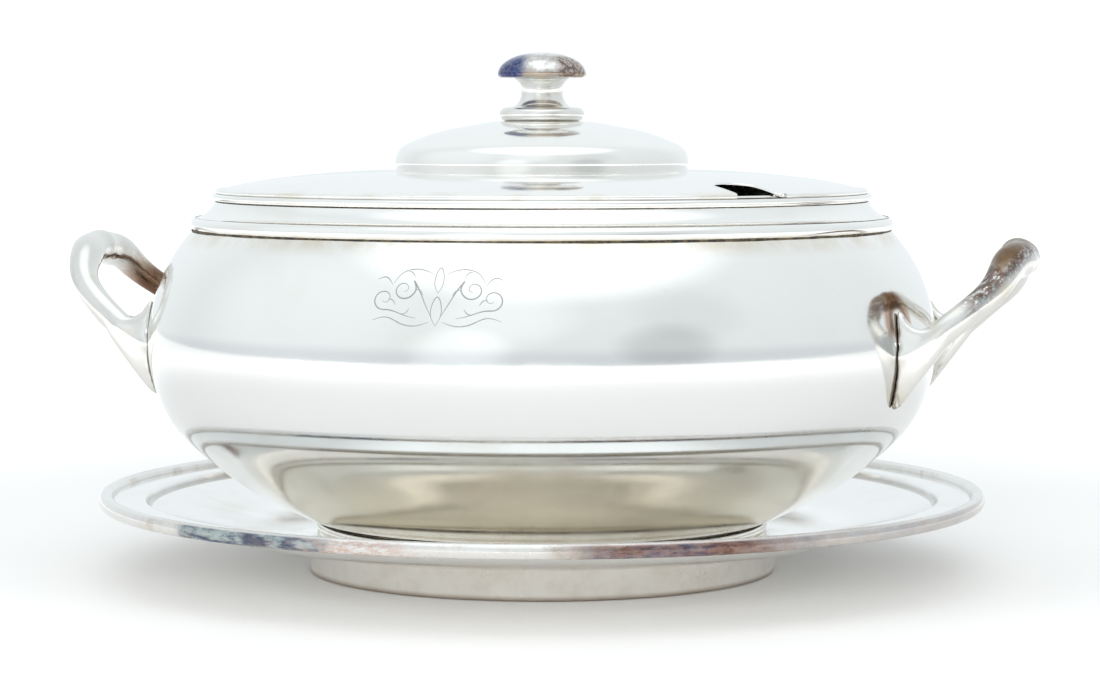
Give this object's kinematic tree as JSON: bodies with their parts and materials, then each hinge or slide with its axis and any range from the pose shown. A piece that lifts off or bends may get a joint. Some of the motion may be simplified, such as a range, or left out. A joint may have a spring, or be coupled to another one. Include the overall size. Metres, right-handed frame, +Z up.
{
  "type": "soup tureen",
  "caption": "Lidded two-handled soup bowl of polished silver plate, standing in a dished round undertray; the lid has a turned knob and a U-shaped notch for a ladle.",
  "frame": {"origin": "on the turning axis, at the face the undertray's foot ring stands on", "axes": "+Z up along the turning axis, +X and -X through the two handles, -Y towards the engraved front"},
  "size_m": [0.3688, 0.33, 0.1927],
  "materials": {
    "tray_silver": "polished silver plate, light wear",
    "border_silver": "silver plate with pink, brown and blue tarnish",
    "foot_silver": "polished silver plate, slightly warm",
    "bowl_silver": "polished silver plate with a fine engraved scroll",
    "collar_silver": "polished silver plate, dark in the seams",
    "handle_silver": "silver plate with brown and green tarnish at the tip",
    "finial_silver": "silver plate with blue and brown tarnish on the cap",
    "stud_metal": "plain nickel-silver stud, washer and nut",
    "lid_silver": "polished silver plate"
  },
  "bodies": {
    "undertray": {"tray_plate": "tray_silver", "tray_border": "border_silver", "tray_foot_ring": "foot_silver"},
    "tureen": {"bowl_shell": "bowl_silver", "bowl_foot_ring": "foot_silver", "rim_collar": "collar_silver", "handle_right": "handle_silver", "handle_left": "handle_silver"},
    "finial": {"finial_knob": "finial_silver", "finial_stud": "stud_metal", "finial_washer": "stud_metal", "finial_nut": "stud_metal"},
    "lid": {"lid_shell": "lid_silver", "lid_edge_wire": "lid_silver", "lid_bezel": "lid_silver"}
  },
  "joints": [
    {"name": "tureen_lift", "type": "slide", "parent": "undertray", "child": "tureen", "axis": [0, 0, 1], "range_m": [0, 0.1]},
    {"name": "lid_lift", "type": "slide", "parent": "tureen", "child": "finial", "axis": [0, 0, 1], "range_m": [0, 0.12]},
    {"name": "lid_turn", "type": "hinge", "parent": "finial", "child": "lid", "pos_m": [0, 0, 0.1672], "axis": [0, 0, 1], "continuous": true}
  ]
}
